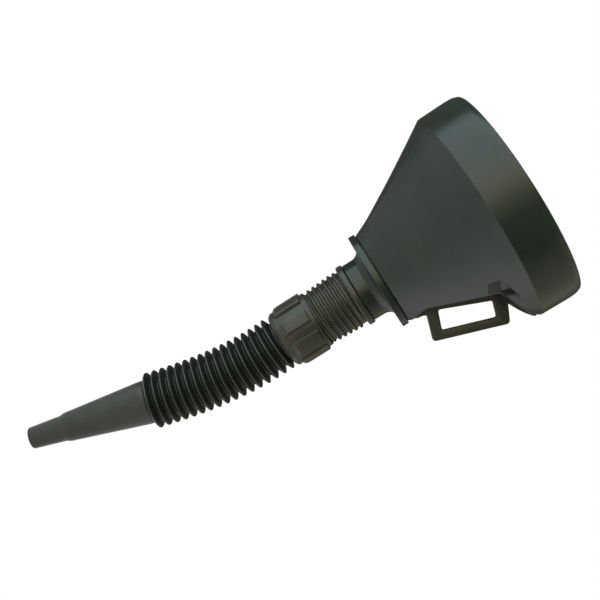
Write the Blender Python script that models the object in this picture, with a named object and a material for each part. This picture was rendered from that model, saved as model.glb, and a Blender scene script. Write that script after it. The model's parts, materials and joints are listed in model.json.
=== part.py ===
"""Fluid funnel with a moulded finger loop, a lift-out strainer and a detachable bendable spout.

Upright frame in metres: +Z points up the funnel's axis towards the mouth and the finger loop is
on +X. Sizes below are in millimetres and become metres through MM. Heights are measured from the
flat underside of the collar; STAND_Z then lifts everything until the nozzle's lowest edge is at
z = 0, below the centre of the bowl.
"""

import math

import bmesh
import bpy
from mathutils import Matrix, Vector

MM = 0.001
STAND_Z = 245.95

# Bowl: upright band at the mouth, straight cone, collar, neck and hidden spigot
MOUTH_Z = 104.0
LIP_Z = 97.0
MOUTH_R = 70.5
BAND_R = 72.2
CREASE_R = 71.9
CREASE_Z = 76.1
CONE_SWELL = ((35.9, 15.0), (49.9, 40.0), (64.3, 64.0))
CONE_FOOT_R = 30.9
COLLAR_R = 33.0
COLLAR_H = 4.4
WALL = 1.9
WALL_ACROSS_CONE = 2.2
SHELF_Z = 2.4
NECK_R = 19.9
NECK_FOOT_Z = -12.6
SPIGOT_R = 15.0
SPIGOT_FOOT_Z = -24.0
BORE_R = 13.2

# Hollow behind the finger loop: (along, out) in a frame along and away from its floor
LOOP_TILT = math.radians(18.5)
FLOOR_OUT = 22.7
FLOOR_FOOT = 26.0
FLOOR_HEAD = 70.4
HOLLOW_FOOT = (10.95, 32.7)
HOLLOW_CORNER = 3.0
SHOULDER_SLOPE = 0.47
HOLLOW_REACH = 52.0
HOLLOW_WIDE = 96.0

# Finger loop: one plate with a web down to the hollow, in the same frame
LOOP_THICK = 5.0
LOOP_SINK = 0.8
LOOP_FOOT = 26.3
LOOP_HEAD = 75.8
LOOP_OUT = 45.15
LOOP_CORNER = 2.6
WINDOW = ((34.0, 26.2), (68.4, 28.6), (68.4, 39.2), (33.5, 39.2))
WINDOW_CORNER = 1.4
# Web's corners as (x, z) from the collar's underside, at the loop's foot and at its head
WEB_FOOT = ((31.6, 8.0), (33.2, 9.6), (33.9, 14.3), (35.1, 16.0))
WEB_HEAD = ((55.4, 63.0), (62.1, 66.2), (66.7, 69.0), (70.6, 72.2), (71.3, 74.0), (70.3, 74.2))
WEB_END = (69.0, 72.5)

# Strainer that wedges in the foot of the cone
STRAINER_Z = 2.9
STRAINER_H = 3.6
STRAINER_R = 27.2
STRAINER_LEDGE = 1.4
STRAINER_RIM = 1.6
STRAINER_BAR = 3.4
GAUZE_T = 0.5
GAUZE_PITCH = 5.4
GAUZE_WIRE = 1.6

# Threaded adapter pushed over the spigot
GAP = 0.3
BEAD_R = 21.2
BEAD_H = 4.4
ADAPTER_FOOT_Z = -63.0
ADAPTER_BORE_R = 13.4
THREAD_PITCH = 3.9
THREAD_TOP_Z = -17.6
THREAD_TURNS = 11
THREAD_ROOT_TOP_R = 18.3
THREAD_ROOT_FOOT_R = 16.9
THREAD_H = 1.4
THREAD_SIDES = 28
SEAM_FROM_TURN = 0.5
SEAM_SQUEEZE = 0.2

# Coupling nut, sealing washer and the hose's top collar
NUT_TOP_Z = -43.4
NUT_FOOT_Z = -70.2
NUT_FLOOR_T = 2.3
NUT_PAD_TOP_Z = -46.0
NUT_PAD_R = 20.6
NUT_GROOVE_R = 19.5
NUT_PADS = 8
NUT_PHASE = math.radians(28.0)
NUT_BORE_R = 18.6
NUT_THREAD_H = 1.1
NUT_THREAD_TURNS = 4
WASHER_TOP_Z = -63.3
WASHER_T = 2.2
WASHER_IN_R = 13.4
HOSE_FLANGE_T = 1.8
HOSE_FLANGE_R = 17.1
HOSE_NECK_R = 13.7
HOSE_BORE_R = 12.0

# Bellows: one moulding of equal convolutions, split here so that it can bend
RINGS = 17
RING_PITCH = 5.56
RING_CREST_R = 18.5
RING_EDGE_R = 14.9
RING_HALF = 1.7
RING_WALL = 1.0
TOP_RING_Z = -74.1
FIRST_LEAN = math.radians(-2.4)
BEND_TOTAL = math.radians(17.0)
BEND_POWER = 1.5

# Nozzle, measured down its own axis from the lowest convolution
NOZZLE_TOP = 3.5
NOZZLE_SHOULDER = 6.0
NOZZLE_SHOULDER_R = 14.3
NOZZLE_STEP = 61.3
NOZZLE_STEP_R = 9.5
NOZZLE_TIP = 85.1
NOZZLE_TIP_R = 7.1
NOZZLE_WALL = 1.4

ROUND_SIDES = 56
SMALL_SIDES = 32
RING_SIDES = 20

BLACK_PLASTIC = (0.030, 0.034, 0.031)
DARK_PLASTIC = (0.020, 0.023, 0.021)
BLACK_RUBBER = (0.012, 0.012, 0.013)
BRASS = (0.48, 0.34, 0.13)


def clear_scene():
    for obj in list(bpy.data.objects):
        bpy.data.objects.remove(obj, do_unlink=True)


def finish_material(name, colour, roughness, metallic=0.0):
    """One Principled BSDF per sub-part."""
    material = bpy.data.materials.new(name)
    material.use_nodes = True
    shader = material.node_tree.nodes["Principled BSDF"]
    shader.inputs["Base Color"].default_value = (*colour, 1.0)
    shader.inputs["Roughness"].default_value = roughness
    shader.inputs["Metallic"].default_value = metallic
    return material


def add_object(name, bm, placement=None):
    """Turn a bmesh into a scene object with outward faces, at a placement matrix."""
    bmesh.ops.recalc_face_normals(bm, faces=bm.faces)
    mesh = bpy.data.meshes.new(name)
    bm.to_mesh(mesh)
    bm.free()
    mesh.shade_smooth()
    mesh.set_sharp_from_angle(angle=math.radians(35.0))
    obj = bpy.data.objects.new(name, mesh)
    bpy.context.collection.objects.link(obj)
    if placement is not None:
        obj.matrix_world = placement
    return obj


def turned_mesh(outline, sides):
    """Solid of revolution about Z from a closed outline of (radius, height) points."""
    bm = bmesh.new()
    verts = [bm.verts.new((r * MM, 0.0, z * MM)) for r, z in outline]
    edges = [bm.edges.new((a, b)) for a, b in zip(verts, verts[1:] + verts[:1])]
    bmesh.ops.spin(
        bm, geom=verts + edges, cent=(0.0, 0.0, 0.0), axis=(0.0, 0.0, 1.0),
        angle=2.0 * math.pi, steps=sides, use_merge=True)
    return bm


def disc_mesh(outline, sides):
    """Solid of revolution whose outline starts and ends on the axis."""
    bm = bmesh.new()
    rings = []
    for r, z in outline[1:-1]:
        ring = []
        for i in range(sides):
            turn = 2.0 * math.pi * i / sides
            ring.append(bm.verts.new((r * MM * math.cos(turn), r * MM * math.sin(turn), z * MM)))
        rings.append(ring)
    for lower, upper in zip(rings, rings[1:]):
        bridge(bm, lower, upper)
    bm.faces.new(rings[0])
    bm.faces.new(rings[-1])
    return bm


def bridge(bm, first, second):
    """Quads between two loops of equal length."""
    count = len(first)
    for i in range(count):
        j = (i + 1) % count
        bm.faces.new((first[i], first[j], second[j], second[i]))


def plate_mesh(outline, half_width):
    """Plate in the XZ plane with a closed outline, thick in Y about y = 0."""
    bm = bmesh.new()
    near = [bm.verts.new((x * MM, -half_width * MM, z * MM)) for x, z in outline]
    far = [bm.verts.new((x * MM, half_width * MM, z * MM)) for x, z in outline]
    bridge(bm, near, far)
    bm.faces.new(near)
    bm.faces.new(far)
    return bm


def soft_corner(before, corner, after, reach, steps=3):
    """Points of a rounded corner that starts and ends at a reach from the sharp one."""
    corner = Vector(corner)
    start = corner + (Vector(before) - corner).normalized() * reach
    end = corner + (Vector(after) - corner).normalized() * reach
    points = []
    for i in range(steps + 1):
        share = i / steps
        point = start.lerp(corner, share).lerp(corner.lerp(end, share), share)
        points.append((point.x, point.y))
    return points


def loop_frame(along, out):
    """From the loop's own frame (along the hollow's floor, away from it) to (x, z)."""
    x = along * math.sin(LOOP_TILT) + out * math.cos(LOOP_TILT)
    z = along * math.cos(LOOP_TILT) - out * math.sin(LOOP_TILT)
    return x, z


def grown_outline(points, distance):
    """Closed outline of (x, z) points, clockwise, with every side moved outwards."""
    grown = []
    count = len(points)
    for i in range(count):
        here = Vector(points[i])
        back = (here - Vector(points[i - 1])).normalized()
        ahead = (Vector(points[(i + 1) % count]) - here).normalized()
        side_back, side_ahead = Vector((-back.y, back.x)), Vector((-ahead.y, ahead.x))
        shift = (side_back + side_ahead) * distance / (1.0 + side_back.dot(side_ahead))
        grown.append(tuple(here + shift))
    return grown


def boolean(obj, other, operation):
    modifier = obj.modifiers.new(other.name, "BOOLEAN")
    modifier.object = other
    modifier.operation = operation
    modifier.solver = "EXACT"


def hide_cutter(obj):
    obj.hide_render = True
    obj.display_type = "WIRE"


def bowl_outer_outline():
    outline = [(0.0, SPIGOT_FOOT_Z), (SPIGOT_R, SPIGOT_FOOT_Z), (SPIGOT_R, NECK_FOOT_Z)]
    outline += [(NECK_R, NECK_FOOT_Z), (NECK_R, -4.6), (NECK_R + 0.3, -3.0)]
    outline += [(NECK_R + 1.4, -1.0), (NECK_R + 3.6, 0.0)]
    outline += [(COLLAR_R - 0.4, 0.0), (COLLAR_R, 0.4), (COLLAR_R, COLLAR_H - 0.4)]
    outline += [(COLLAR_R - 0.4, COLLAR_H), (CONE_FOOT_R, COLLAR_H)]
    outline += list(CONE_SWELL)
    outline += [(CREASE_R, CREASE_Z), (BAND_R, LIP_Z), (BAND_R - 0.3, LIP_Z + 3.6)]
    outline += [(MOUTH_R, MOUTH_Z), (0.0, MOUTH_Z)]
    return outline


def bowl_inner_outline():
    """Hollow of the bowl; it runs past the mouth and the spigot's foot to cut them open."""
    shelf_r = CONE_FOOT_R - WALL_ACROSS_CONE
    lip_in = MOUTH_R - 3.4
    outline = [(0.0, SPIGOT_FOOT_Z - 4.0), (BORE_R, SPIGOT_FOOT_Z - 4.0), (BORE_R, -3.5)]
    outline += [(14.2, -0.6), (16.6, SHELF_Z - 1.1), (shelf_r - 1.2, SHELF_Z), (shelf_r, COLLAR_H)]
    outline += [(r - WALL_ACROSS_CONE, z) for r, z in CONE_SWELL]
    outline += [(CREASE_R - WALL, CREASE_Z + 0.5), (BAND_R - WALL, LIP_Z - 1.0)]
    outline += [(lip_in, LIP_Z + 2.4), (lip_in, MOUTH_Z + 4.0), (0.0, MOUTH_Z + 4.0)]
    return outline


def hollow_outline():
    """Wedge that flattens the cone behind the finger loop, clockwise in (x, z)."""
    foot = loop_frame(*HOLLOW_FOOT)
    step = loop_frame(FLOOR_FOOT, FLOOR_OUT)
    deep = loop_frame(FLOOR_HEAD, FLOOR_OUT)
    far = (deep[0] + HOLLOW_REACH, deep[1] + HOLLOW_REACH * SHOULDER_SLOPE)
    return [foot, step] + soft_corner(step, deep, far, HOLLOW_CORNER) + [far, (far[0], foot[1])]


def loop_outline():
    """Outside of the finger loop and its web, sunk into the hollow's wall, clockwise."""
    low_root = loop_frame(LOOP_FOOT, FLOOR_OUT)
    low = loop_frame(LOOP_FOOT, LOOP_OUT)
    high = loop_frame(LOOP_HEAD, LOOP_OUT)
    deep = loop_frame(FLOOR_HEAD, FLOOR_OUT)
    outline = list(WEB_FOOT)
    outline += soft_corner(low_root, low, high, LOOP_CORNER, 4)
    outline += soft_corner(low, high, WEB_HEAD[0], LOOP_CORNER, 4)
    outline += list(WEB_HEAD)
    outline.append(WEB_END)
    for x, z in soft_corner(WEB_END, deep, low_root, HOLLOW_CORNER):
        outline.append((x - LOOP_SINK * 0.4, z + LOOP_SINK))
    step = loop_frame(FLOOR_FOOT, FLOOR_OUT)
    outline.append((step[0] - LOOP_SINK, step[1]))
    return outline


def window_outline():
    corners = [loop_frame(along, out) for along, out in WINDOW]
    outline = []
    for i, corner in enumerate(corners):
        outline += soft_corner(corners[i - 1], corner, corners[(i + 1) % 4], WINDOW_CORNER)
    return outline


def build_bowl():
    bowl = add_object("funnel_bowl", disc_mesh(bowl_outer_outline(), ROUND_SIDES))
    bowl.data.materials.append(finish_material("bowl_plastic", BLACK_PLASTIC, 0.38))
    hollow_cut = add_object("hollow_cut", plate_mesh(hollow_outline(), HOLLOW_WIDE / 2.0))
    inside = add_object("inside_cut", disc_mesh(bowl_inner_outline(), ROUND_SIDES))
    limit = grown_outline(hollow_outline(), WALL)
    inside_limit = add_object("inside_limit", plate_mesh(limit, HOLLOW_WIDE / 2.0))
    loop = add_object("loop_body", plate_mesh(loop_outline(), LOOP_THICK / 2.0))
    window = add_object("window_cut", plate_mesh(window_outline(), LOOP_THICK))
    for guide in (hollow_cut, inside, inside_limit, loop, window):
        hide_cutter(guide)
    boolean(loop, window, "DIFFERENCE")
    boolean(inside, inside_limit, "DIFFERENCE")
    boolean(bowl, hollow_cut, "DIFFERENCE")
    boolean(bowl, loop, "UNION")
    boolean(bowl, inside, "DIFFERENCE")
    return bowl


def build_strainer_ring():
    low, high = STRAINER_Z, STRAINER_Z + STRAINER_H
    ledge = low + STRAINER_LEDGE
    seat_r = STRAINER_R - STRAINER_RIM
    hole_r = STRAINER_R - STRAINER_BAR
    outline = [(STRAINER_R, low), (STRAINER_R, high - 0.5), (STRAINER_R - 0.5, high)]
    outline += [(seat_r + 0.5, high), (seat_r, high - 0.5), (seat_r, ledge), (hole_r, ledge)]
    outline += [(hole_r, low)]
    ring = add_object("strainer_ring", turned_mesh(outline, ROUND_SIDES))
    ring.data.materials.append(finish_material("strainer_plastic", DARK_PLASTIC, 0.45))
    return ring


def gauze_hole_centres(reach):
    """Centres of a square grid of holes that fit inside a radius."""
    centres = []
    steps = int(reach / GAUZE_PITCH) + 1
    for i in range(-steps, steps + 1):
        for j in range(-steps, steps + 1):
            x, y = i * GAUZE_PITCH, j * GAUZE_PITCH
            if math.hypot(abs(x) + GAUZE_PITCH / 2.0, abs(y) + GAUZE_PITCH / 2.0) < reach:
                centres.append((x, y))
    return centres


def build_gauze():
    radius = STRAINER_R - STRAINER_RIM - GAP
    low = STRAINER_Z + STRAINER_LEDGE + GAP
    bm = bmesh.new()
    bmesh.ops.create_circle(bm, cap_ends=True, radius=radius * MM, segments=SMALL_SIDES)
    extruded = bmesh.ops.extrude_face_region(bm, geom=bm.faces[:])
    lifted = [v for v in extruded["geom"] if isinstance(v, bmesh.types.BMVert)]
    bmesh.ops.translate(bm, verts=lifted, vec=(0.0, 0.0, GAUZE_T * MM))
    gauze = add_object("strainer_gauze", bm, Matrix.Translation((0.0, 0.0, low * MM)))
    gauze.data.materials.append(finish_material("gauze_metal", BRASS, 0.4, 1.0))
    cutter = bmesh.new()
    hole = (GAUZE_PITCH - GAUZE_WIRE) * MM
    for x, y in gauze_hole_centres(radius - 1.0):
        place = Matrix.Translation((x * MM, y * MM, GAUZE_T * MM / 2.0))
        place @= Matrix.Diagonal((hole, hole, 4.0 * GAUZE_T * MM, 1.0))
        bmesh.ops.create_cube(cutter, size=1.0, matrix=place)
    holes = add_object("gauze_holes", cutter, Matrix.Translation((0.0, 0.0, low * MM)))
    hide_cutter(holes)
    boolean(gauze, holes, "DIFFERENCE")
    return gauze


def helical_wall(bm, low_ring_z, high_ring_z, base, rib, phases, start_z, turns):
    """Cylinder wall with a helical rib between two flat rings; returns both rings.

    base(z) is the wall's radius, rib is the signed rib height and phases holds the share of
    that height at equal steps of one pitch. The rib fades in over the first half turn and
    out before the last turn, so the seam facets stay flat.
    """
    steps = len(phases)
    seam_z = start_z + THREAD_PITCH * (turns - SEAM_FROM_TURN)

    def height(side, step):
        z = start_z + THREAD_PITCH * (side / THREAD_SIDES + step / steps)
        if z > seam_z:
            z = seam_z + SEAM_SQUEEZE * (z - seam_z)
        return z

    def fade(turn):
        rise = min(1.0, turn / 0.5)
        fall = min(1.0, (turns - 1.0 - turn) / 0.5)
        return max(0.0, min(rise, fall))

    def vertex(side, radius, z):
        turn = 2.0 * math.pi * side / THREAD_SIDES
        return bm.verts.new((radius * MM * math.cos(turn), radius * MM * math.sin(turn), z * MM))

    low_ring = [vertex(i, base(low_ring_z), low_ring_z) for i in range(THREAD_SIDES)]
    high_ring = [vertex(i, base(high_ring_z), high_ring_z) for i in range(THREAD_SIDES)]
    columns = []
    for i in range(THREAD_SIDES):
        column = []
        for m in range(steps * turns + 1):
            z = height(i, m)
            along = m // steps + i / THREAD_SIDES
            column.append(vertex(i, base(z) + rib * phases[m % steps] * fade(along), z))
        columns.append(column)
    top = steps * turns
    for i in range(THREAD_SIDES - 1):
        here, there = columns[i], columns[i + 1]
        bm.faces.new((low_ring[i], low_ring[i + 1], there[0], here[0]))
        for m in range(top):
            bm.faces.new((here[m], there[m], there[m + 1], here[m + 1]))
        bm.faces.new((here[top], there[top], high_ring[i + 1], high_ring[i]))
    last, first = columns[-1], columns[0]
    bm.faces.new([low_ring[-1], low_ring[0]] + first[:steps + 1] + [last[0]])
    for m in range(top - steps):
        bm.faces.new((last[m], first[m + steps], first[m + steps + 1], last[m + 1]))
    bm.faces.new([high_ring[0], high_ring[-1]] + last[:top - steps - 1:-1] + [first[top]])
    return low_ring, high_ring


def circle_ring(bm, radius, z, sides):
    ring = []
    for i in range(sides):
        turn = 2.0 * math.pi * i / sides
        ring.append(bm.verts.new((radius * MM * math.cos(turn), radius * MM * math.sin(turn), z * MM)))
    return ring


def thread_root_radius(z):
    """Root of the outside thread: it narrows towards the nut and is even inside it."""
    share = (THREAD_TOP_Z - z) / (THREAD_TOP_Z - NUT_TOP_Z)
    share = min(1.0, max(0.0, share))
    return THREAD_ROOT_TOP_R + (THREAD_ROOT_FOOT_R - THREAD_ROOT_TOP_R) * share


def thread_start_z(top_z, turns):
    """Foot of a helical wall whose squeezed upper seam ends at top_z."""
    return top_z - THREAD_PITCH * (turns - SEAM_FROM_TURN + SEAM_SQUEEZE * (1.0 + SEAM_FROM_TURN))


def nut_thread_start_z():
    """Foot of the inside thread: its crest runs in the middle of the outside thread's groove."""
    outside = thread_start_z(THREAD_TOP_Z, THREAD_TURNS)
    highest = thread_start_z(NUT_TOP_Z - 0.6, NUT_THREAD_TURNS)
    in_mesh = outside + (0.125 - 0.25 + NUT_PHASE / (2.0 * math.pi)) * THREAD_PITCH
    return in_mesh + THREAD_PITCH * math.floor((highest - in_mesh) / THREAD_PITCH)


def build_adapter():
    top = NECK_FOOT_Z - GAP
    bead_foot = top - BEAD_H
    bm = bmesh.new()
    low, high = helical_wall(
        bm, ADAPTER_FOOT_Z, bead_foot, thread_root_radius, THREAD_H,
        (0.0, 0.0, 1.0, 1.0), thread_start_z(THREAD_TOP_Z, THREAD_TURNS), THREAD_TURNS)
    loops = [high]
    for r, z in ((BEAD_R - 0.7, bead_foot), (BEAD_R, bead_foot + 0.9), (BEAD_R, top - 0.9),
                 (BEAD_R - 0.9, top), (SPIGOT_R + GAP, top), (SPIGOT_R + GAP, SPIGOT_FOOT_Z - 1.0),
                 (ADAPTER_BORE_R, SPIGOT_FOOT_Z - 1.0), (ADAPTER_BORE_R, ADAPTER_FOOT_Z)):
        loops.append(circle_ring(bm, r, z, THREAD_SIDES))
    loops.append(low)
    for first, second in zip(loops, loops[1:]):
        bridge(bm, first, second)
    adapter = add_object("threaded_adapter", bm)
    adapter.data.materials.append(finish_material("adapter_plastic", BLACK_PLASTIC, 0.42))
    return adapter


def nut_outer_ring(bm, pad_r, groove_r, z):
    """One level of the nut's outside: pads at pad_r, grooves between them at groove_r."""
    ring = []
    pad_half, wall_half = 10.5, 12.5
    period = 360.0 / NUT_PADS
    for pad in range(NUT_PADS):
        for offset, radius in ((-pad_half, pad_r), (0.0, pad_r), (pad_half, pad_r),
                               (wall_half, groove_r), (period / 2.0, groove_r),
                               (period - wall_half, groove_r)):
            turn = math.radians(pad * period + offset)
            x, y = radius * MM * math.cos(turn), radius * MM * math.sin(turn)
            ring.append(bm.verts.new((x, y, z * MM)))
    return ring


def join_rims(bm, inner, outer):
    """Fill the flat annulus between two rims, stepping round whichever is behind in angle."""
    i = j = 0
    while i < len(inner) or j < len(outer):
        inner_now, outer_now = inner[i % len(inner)], outer[j % len(outer)]
        inner_behind = (i + 0.5) / len(inner) <= (j + 0.5) / len(outer)
        if j == len(outer) or (i < len(inner) and inner_behind):
            i += 1
            bm.faces.new((inner_now, outer_now, inner[i % len(inner)]))
        else:
            j += 1
            bm.faces.new((inner_now, outer_now, outer[j % len(outer)]))


def build_nut():
    bm = bmesh.new()
    levels = ((NUT_GROOVE_R - 0.3, NUT_GROOVE_R - 0.3, NUT_TOP_Z),
              (NUT_GROOVE_R, NUT_GROOVE_R, NUT_TOP_Z - 0.4),
              (NUT_GROOVE_R + 0.05, NUT_GROOVE_R, NUT_PAD_TOP_Z),
              (NUT_PAD_R, NUT_GROOVE_R, NUT_PAD_TOP_Z - 1.0),
              (NUT_PAD_R, NUT_GROOVE_R, NUT_FOOT_Z + 8.0),
              (NUT_PAD_R - 0.7, NUT_GROOVE_R - 0.3, NUT_FOOT_Z + 2.0),
              (NUT_PAD_R - 2.8, NUT_GROOVE_R - 1.8, NUT_FOOT_Z))
    outside = [nut_outer_ring(bm, *level) for level in levels]
    for first, second in zip(outside, outside[1:]):
        bridge(bm, first, second)
    floor_z = NUT_FOOT_Z + NUT_FLOOR_T
    low, high = helical_wall(
        bm, floor_z, NUT_TOP_Z, lambda z: NUT_BORE_R, -NUT_THREAD_H,
        (0.0, 1.0, 0.0, 0.0), nut_thread_start_z(), NUT_THREAD_TURNS)
    hole_top = circle_ring(bm, HOSE_NECK_R + 0.4, floor_z, THREAD_SIDES)
    hole_foot = circle_ring(bm, HOSE_NECK_R + 0.4, NUT_FOOT_Z, THREAD_SIDES)
    bridge(bm, low, hole_top)
    bridge(bm, hole_top, hole_foot)
    join_rims(bm, hole_foot, outside[-1])
    join_rims(bm, high, outside[0])
    nut = add_object("coupling_nut", bm, Matrix.Rotation(NUT_PHASE, 4, "Z"))
    nut.data.materials.append(finish_material("nut_plastic", BLACK_PLASTIC, 0.40))
    return nut


def build_washer():
    foot = WASHER_TOP_Z - WASHER_T
    outline = [(WASHER_IN_R, foot), (HOSE_FLANGE_R - 0.1, foot)]
    outline += [(HOSE_FLANGE_R - 0.1, WASHER_TOP_Z), (WASHER_IN_R, WASHER_TOP_Z)]
    washer = add_object("sealing_washer", turned_mesh(outline, SMALL_SIDES))
    washer.data.materials.append(finish_material("washer_rubber", BLACK_RUBBER, 0.7))
    return washer


def build_hose_collar():
    """Flanged top of the bellows, held in the nut by its flange."""
    top = WASHER_TOP_Z - WASHER_T - GAP
    flange_foot = top - HOSE_FLANGE_T
    foot = TOP_RING_Z + RING_PITCH / 2.0 + 1.0
    outline = [(HOSE_BORE_R, foot), (HOSE_NECK_R, foot), (HOSE_NECK_R, flange_foot)]
    outline += [(HOSE_FLANGE_R, flange_foot), (HOSE_FLANGE_R, top), (HOSE_BORE_R, top)]
    collar = add_object("hose_collar", turned_mesh(outline, SMALL_SIDES))
    collar.data.materials.append(finish_material("hose_plastic", DARK_PLASTIC, 0.32))
    return collar


def ring_lean(index):
    """Lean of a convolution from the funnel's axis; the bend is strongest near the nut."""
    if index == 0:
        return 0.0
    share = (index - 1) / (RINGS - 1)
    return FIRST_LEAN + BEND_TOTAL * (1.0 - (1.0 - share) ** BEND_POWER)


def ring_frame(index):
    """Placement of convolution number index, counted from 1 at the top, on the bent path."""
    half = Matrix.Translation((0.0, 0.0, -RING_PITCH / 2.0 * MM))
    place = Matrix.Translation((0.0, 0.0, TOP_RING_Z * MM)) @ half.inverted()
    for i in range(1, index + 1):
        turn = Matrix.Rotation(ring_lean(i) - ring_lean(i - 1), 4, "Y")
        place = place @ turn @ half
        if i < index:
            place = place @ half
    return place


def ring_outline():
    flat = 0.35
    outline = [(RING_EDGE_R, -RING_HALF), (RING_CREST_R - 0.3, -flat), (RING_CREST_R, 0.0)]
    outline += [(RING_CREST_R - 0.3, flat), (RING_EDGE_R, RING_HALF)]
    outline += [(RING_EDGE_R - RING_WALL, RING_HALF), (RING_CREST_R - 1.7, 0.0)]
    outline += [(RING_EDGE_R - RING_WALL, -RING_HALF)]
    return outline


def build_bellows():
    material = finish_material("bellows_plastic", DARK_PLASTIC, 0.30)
    for index in range(1, RINGS + 1):
        name = f"bellows_ring_{index:02d}"
        ring = add_object(name, turned_mesh(ring_outline(), RING_SIDES), ring_frame(index))
        ring.data.materials.append(material)


def build_nozzle():
    inner = [(NOZZLE_SHOULDER_R - NOZZLE_WALL, -NOZZLE_SHOULDER)]
    inner += [(NOZZLE_STEP_R - NOZZLE_WALL, -NOZZLE_STEP), (NOZZLE_TIP_R - NOZZLE_WALL, -NOZZLE_TIP)]
    outline = [(NOZZLE_TIP_R - 0.3, -NOZZLE_TIP), (NOZZLE_TIP_R, -NOZZLE_TIP + 0.4)]
    outline += [(NOZZLE_STEP_R - 0.9, -NOZZLE_STEP - 0.7), (NOZZLE_STEP_R, -NOZZLE_STEP)]
    outline += [(NOZZLE_SHOULDER_R, -NOZZLE_SHOULDER), (NOZZLE_SHOULDER_R, -NOZZLE_TOP - 0.5)]
    outline += [(NOZZLE_SHOULDER_R - 0.6, -NOZZLE_TOP)]
    outline += [(NOZZLE_SHOULDER_R - NOZZLE_WALL, -NOZZLE_TOP)]
    outline += inner
    nozzle = add_object("nozzle", turned_mesh(outline, SMALL_SIDES), ring_frame(RINGS))
    nozzle.data.materials.append(finish_material("nozzle_plastic", DARK_PLASTIC, 0.36))
    return nozzle


def stand_on_tip():
    """Hang everything under one empty, so that the nozzle's lowest edge is at z = 0."""
    base = bpy.data.objects.new("stand_height", None)
    base.location = (0.0, 0.0, STAND_Z * MM)
    for obj in list(bpy.context.collection.objects):
        obj.parent = base
    bpy.context.collection.objects.link(base)


def main():
    clear_scene()
    build_bowl()
    build_strainer_ring()
    build_gauze()
    build_adapter()
    build_nut()
    build_washer()
    build_hose_collar()
    build_bellows()
    build_nozzle()
    stand_on_tip()


main()
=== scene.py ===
"""Looks of a fluid funnel with a bendable spout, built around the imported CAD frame.

Units are metres. The row frame has +Z up the funnel's axis towards the mouth and the finger loop
on +X. Lengths are named in millimetres and turned into metres by MM, and heights are measured
from the underside of the collar below the cone, which is STAND above the row's origin.
"""

import json
import math

import bmesh
import bpy
from mathutils import Matrix, Vector


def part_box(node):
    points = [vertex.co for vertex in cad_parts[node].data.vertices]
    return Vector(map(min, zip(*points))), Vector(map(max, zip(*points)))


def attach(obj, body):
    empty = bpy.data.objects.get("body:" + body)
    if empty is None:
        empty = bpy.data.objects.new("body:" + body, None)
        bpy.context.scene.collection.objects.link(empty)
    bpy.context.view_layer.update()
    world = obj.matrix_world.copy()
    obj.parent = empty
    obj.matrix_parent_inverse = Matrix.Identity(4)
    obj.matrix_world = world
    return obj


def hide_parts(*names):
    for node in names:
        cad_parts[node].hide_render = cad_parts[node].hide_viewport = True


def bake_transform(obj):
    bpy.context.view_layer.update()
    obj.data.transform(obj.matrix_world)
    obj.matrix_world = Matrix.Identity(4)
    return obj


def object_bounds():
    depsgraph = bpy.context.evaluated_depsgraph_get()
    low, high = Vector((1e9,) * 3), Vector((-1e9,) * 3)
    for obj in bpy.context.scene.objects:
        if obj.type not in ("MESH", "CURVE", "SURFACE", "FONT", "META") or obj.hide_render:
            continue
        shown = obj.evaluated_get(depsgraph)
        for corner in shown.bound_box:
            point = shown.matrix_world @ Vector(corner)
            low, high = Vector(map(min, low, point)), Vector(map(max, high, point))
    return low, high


MM = 0.001

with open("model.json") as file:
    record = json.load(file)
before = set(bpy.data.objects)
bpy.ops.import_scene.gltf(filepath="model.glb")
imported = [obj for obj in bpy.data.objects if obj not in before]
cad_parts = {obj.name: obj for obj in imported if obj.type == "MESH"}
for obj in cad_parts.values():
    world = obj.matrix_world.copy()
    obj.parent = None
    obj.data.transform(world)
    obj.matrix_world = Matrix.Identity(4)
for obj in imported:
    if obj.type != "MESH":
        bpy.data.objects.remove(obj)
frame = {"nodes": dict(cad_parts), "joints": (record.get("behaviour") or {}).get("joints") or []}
cad_low, cad_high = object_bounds()

# ---------------------------------------------------------------- sizes taken from the frame (mm)
MOUTH_Z = 104.0
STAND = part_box("funnel_bowl")[1].z / MM - MOUTH_Z


def cad_box(node):
    """Lowest and highest corners of a CAD node in mm, with heights from the collar."""
    shift = Vector((0.0, 0.0, STAND))
    low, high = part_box(node)
    return Vector(low) / MM - shift, Vector(high) / MM - shift


BOWL_LOW, BOWL_HIGH = cad_box("funnel_bowl")
ADAPTER_LOW, ADAPTER_HIGH = cad_box("threaded_adapter")
NUT_LOW, NUT_HIGH = cad_box("coupling_nut")
STRAINER_LOW, STRAINER_HIGH = cad_box("strainer_ring")
GAUZE_LOW, GAUZE_HIGH = cad_box("strainer_gauze")
COLLAR_TOP = cad_box("hose_collar")[1].z

BAND_R = BOWL_HIGH.y
SPIGOT_FOOT_Z = BOWL_LOW.z
BEAD_R = 21.2
BEAD_TOP_Z = ADAPTER_HIGH.z
ADAPTER_FOOT_Z = ADAPTER_LOW.z
NUT_TOP_Z = NUT_HIGH.z
NUT_FOOT_Z = NUT_LOW.z
STRAINER_R = STRAINER_HIGH.y

# ---------------------------------------------------------------- shape of the bowl (mm)
# CONE_SWELL holds (radius, height) points on the slightly bulging cone.
CREASE_R = 71.9
CREASE_Z = 76.1
CREASE_ROUND = 0.7
CONE_SWELL = ((64.3, 64.0), (49.9, 40.0), (35.9, 15.0))
LIP_Z = 97.0
MOUTH_R = 70.5
LIP_WIDTH = 3.4
WALL = 1.9
WALL_ACROSS_CONE = 2.2
CONE_FOOT_R = 30.9
COLLAR_R = 33.0
COLLAR_H = 4.4
NECK_R = 19.9
NECK_FOOT_Z = -12.6
SPIGOT_R = 15.0
BORE_R = 13.2

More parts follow.
